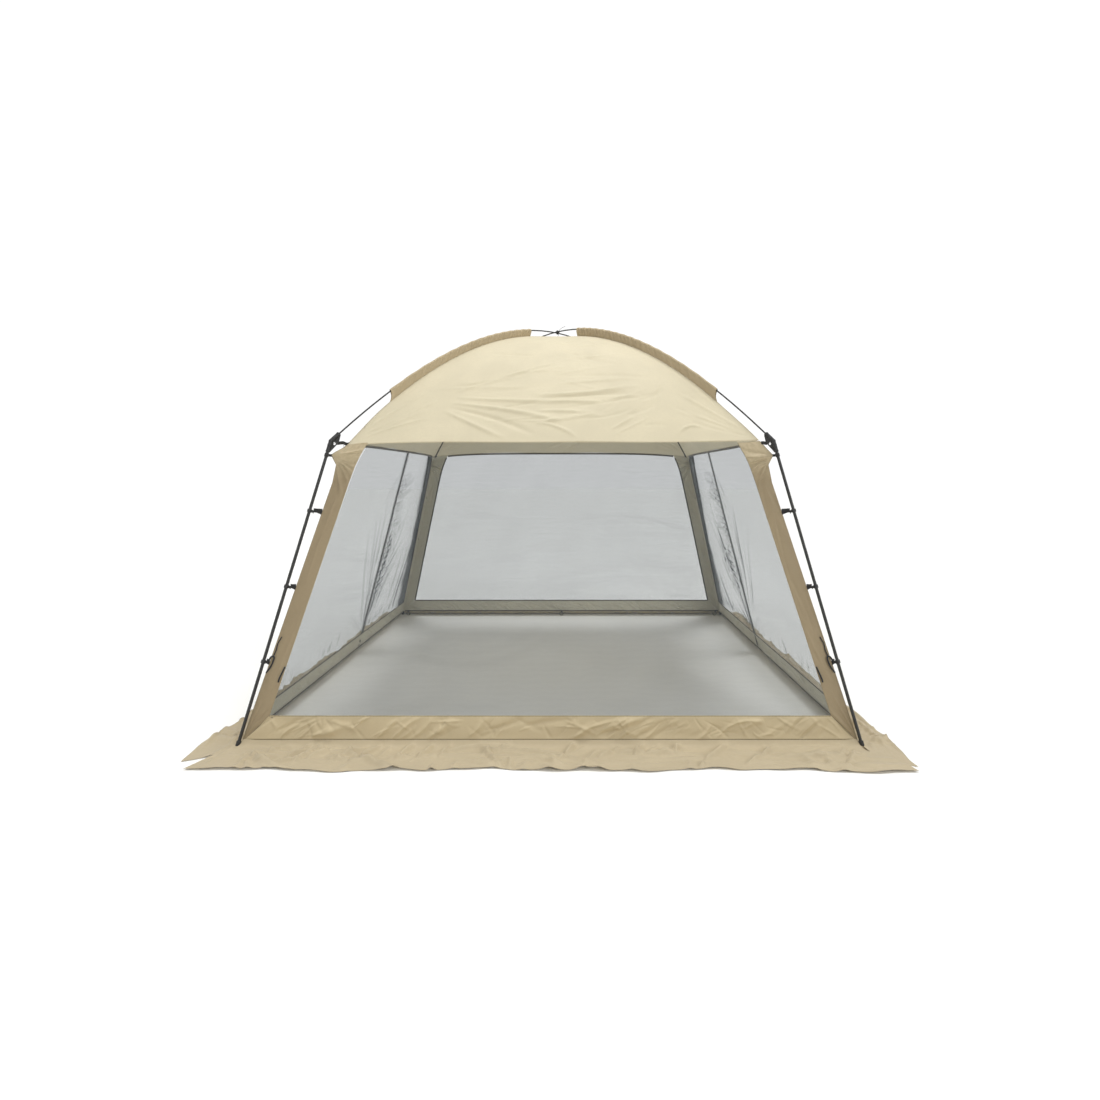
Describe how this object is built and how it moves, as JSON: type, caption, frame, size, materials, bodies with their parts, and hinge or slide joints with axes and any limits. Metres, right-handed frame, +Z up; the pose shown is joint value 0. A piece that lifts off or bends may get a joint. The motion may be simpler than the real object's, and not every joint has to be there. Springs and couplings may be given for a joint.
{
  "type": "screen house",
  "caption": "Square camping screen house: mesh-walled fabric body under a domed roof, clipped inside leaning legs joined by crossed arched roof poles.",
  "frame": {"origin": "on the ground under the middle of the floor", "axes": "+Z up, front of the house towards -Y, +X to the right seen from the front"},
  "size_m": [3.43, 3.43, 2.3743],
  "materials": {
    "roof_fabric": "cream-beige polyester plain weave, slight sheen",
    "sleeve_fabric": "tan polyester, puckered at its seams",
    "column_fabric": "tan polyester plain weave",
    "skirt_fabric": "tan polyester plain weave, creased",
    "mesh_fabric": "fine dark insect mesh, see-through",
    "black_paint": "semi-gloss black painted steel tube",
    "fibreglass": "black fibreglass rod, satin",
    "black_plastic": "moulded black nylon, fine grain",
    "black_webbing": "black woven webbing and cord",
    "black_zip": "black coil zip"
  },
  "bodies": {
    "root": {"roof_canopy": "roof_fabric", "roof_pole_lower": "fibreglass", "roof_pole_upper": "fibreglass", "crown_tie": "black_webbing", "corner_column_front_left": "column_fabric", "leg_front_left": "black_paint", "foot_cap_front_left": "black_plastic", "elbow_hub_front_left": "black_plastic", "elbow_strap_front_left": "black_webbing", "pole_sleeve_front_left": "sleeve_fabric", "corner_column_front_right": "column_fabric", "leg_front_right": "black_paint", "foot_cap_front_right": "black_plastic", "elbow_hub_front_right": "black_plastic", "elbow_strap_front_right": "black_webbing", "pole_sleeve_front_right": "sleeve_fabric", "corner_column_back_right": "column_fabric", "leg_back_right": "black_paint", "foot_cap_back_right": "black_plastic", "elbow_hub_back_right": "black_plastic", "elbow_strap_back_right": "black_webbing", "pole_sleeve_back_right": "sleeve_fabric", "corner_column_back_left": "column_fabric", "leg_back_left": "black_paint", "foot_cap_back_left": "black_plastic", "elbow_hub_back_left": "black_plastic", "elbow_strap_back_left": "black_webbing", "pole_sleeve_back_left": "sleeve_fabric", "skirt_front": "skirt_fabric", "base_strip_front": "skirt_fabric", "mesh_front": "mesh_fabric", "skirt_right": "skirt_fabric", "base_strip_right": "skirt_fabric", "mesh_right_front": "mesh_fabric", "mesh_right_back": "mesh_fabric", "zip_tape_right": "black_zip", "skirt_back": "skirt_fabric", "base_strip_back": "skirt_fabric", "mesh_back": "mesh_fabric", "skirt_left": "skirt_fabric", "base_strip_left": "skirt_fabric", "mesh_left_front": "mesh_fabric", "mesh_left_back": "mesh_fabric", "zip_tape_left": "black_zip"},
    "slider_right": {"zip_slider_right": "black_zip"},
    "pull_right": {"zip_pull_right": "black_zip"},
    "slider_left": {"zip_slider_left": "black_zip"},
    "pull_left": {"zip_pull_left": "black_zip"},
    "clip_front_left_low": {"pole_clip_front_left_low": "black_plastic"},
    "clip_front_left_mid": {"pole_clip_front_left_mid": "black_plastic"},
    "clip_front_left_top": {"pole_clip_front_left_top": "black_plastic"},
    "clip_front_right_low": {"pole_clip_front_right_low": "black_plastic"},
    "clip_front_right_mid": {"pole_clip_front_right_mid": "black_plastic"},
    "clip_front_right_top": {"pole_clip_front_right_top": "black_plastic"},
    "clip_back_right_low": {"pole_clip_back_right_low": "black_plastic"},
    "clip_back_right_mid": {"pole_clip_back_right_mid": "black_plastic"},
    "clip_back_right_top": {"pole_clip_back_right_top": "black_plastic"},
    "clip_back_left_low": {"pole_clip_back_left_low": "black_plastic"},
    "clip_back_left_mid": {"pole_clip_back_left_mid": "black_plastic"},
    "clip_back_left_top": {"pole_clip_back_left_top": "black_plastic"}
  },
  "joints": [
    {"name": "zip_slide_right", "type": "slide", "parent": "root", "child": "slider_right", "axis": [-0.2472, 0, 0.969], "range_m": [0, 1.44]},
    {"name": "zip_pull_swing_right", "type": "hinge", "parent": "slider_right", "child": "pull_right", "pos_m": [1.49616, 0.2, 0.08459], "axis": [0, -1, 0], "range_deg": [0, 150]},
    {"name": "zip_slide_left", "type": "slide", "parent": "root", "child": "slider_left", "axis": [0.2472, 0, 0.969], "range_m": [0, 1.44]},
    {"name": "zip_pull_swing_left", "type": "hinge", "parent": "slider_left", "child": "pull_left", "pos_m": [-1.49616, 0.2, 0.08459], "axis": [0, 1, 0], "range_deg": [0, 150]},
    {"name": "clip_slide_front_left_low", "type": "slide", "parent": "root", "child": "clip_front_left_low", "axis": [0.2097, 0.2097, 0.955], "range_m": [-0.02, 0.02]},
    {"name": "clip_slide_front_left_mid", "type": "slide", "parent": "root", "child": "clip_front_left_mid", "axis": [0.2097, 0.2097, 0.955], "range_m": [-0.02, 0.02]},
    {"name": "clip_slide_front_left_top", "type": "slide", "parent": "root", "child": "clip_front_left_top", "axis": [0.2097, 0.2097, 0.955], "range_m": [-0.02, 0.02]},
    {"name": "clip_slide_front_right_low", "type": "slide", "parent": "root", "child": "clip_front_right_low", "axis": [-0.2097, 0.2097, 0.955], "range_m": [-0.02, 0.02]},
    {"name": "clip_slide_front_right_mid", "type": "slide", "parent": "root", "child": "clip_front_right_mid", "axis": [-0.2097, 0.2097, 0.955], "range_m": [-0.02, 0.02]},
    {"name": "clip_slide_front_right_top", "type": "slide", "parent": "root", "child": "clip_front_right_top", "axis": [-0.2097, 0.2097, 0.955], "range_m": [-0.02, 0.02]},
    {"name": "clip_slide_back_right_low", "type": "slide", "parent": "root", "child": "clip_back_right_low", "axis": [-0.2097, -0.2097, 0.955], "range_m": [-0.02, 0.02]},
    {"name": "clip_slide_back_right_mid", "type": "slide", "parent": "root", "child": "clip_back_right_mid", "axis": [-0.2097, -0.2097, 0.955], "range_m": [-0.02, 0.02]},
    {"name": "clip_slide_back_right_top", "type": "slide", "parent": "root", "child": "clip_back_right_top", "axis": [-0.2097, -0.2097, 0.955], "range_m": [-0.02, 0.02]},
    {"name": "clip_slide_back_left_low", "type": "slide", "parent": "root", "child": "clip_back_left_low", "axis": [0.2097, -0.2097, 0.955], "range_m": [-0.02, 0.02]},
    {"name": "clip_slide_back_left_mid", "type": "slide", "parent": "root", "child": "clip_back_left_mid", "axis": [0.2097, -0.2097, 0.955], "range_m": [-0.02, 0.02]},
    {"name": "clip_slide_back_left_top", "type": "slide", "parent": "root", "child": "clip_back_left_top", "axis": [0.2097, -0.2097, 0.955], "range_m": [-0.02, 0.02]}
  ]
}
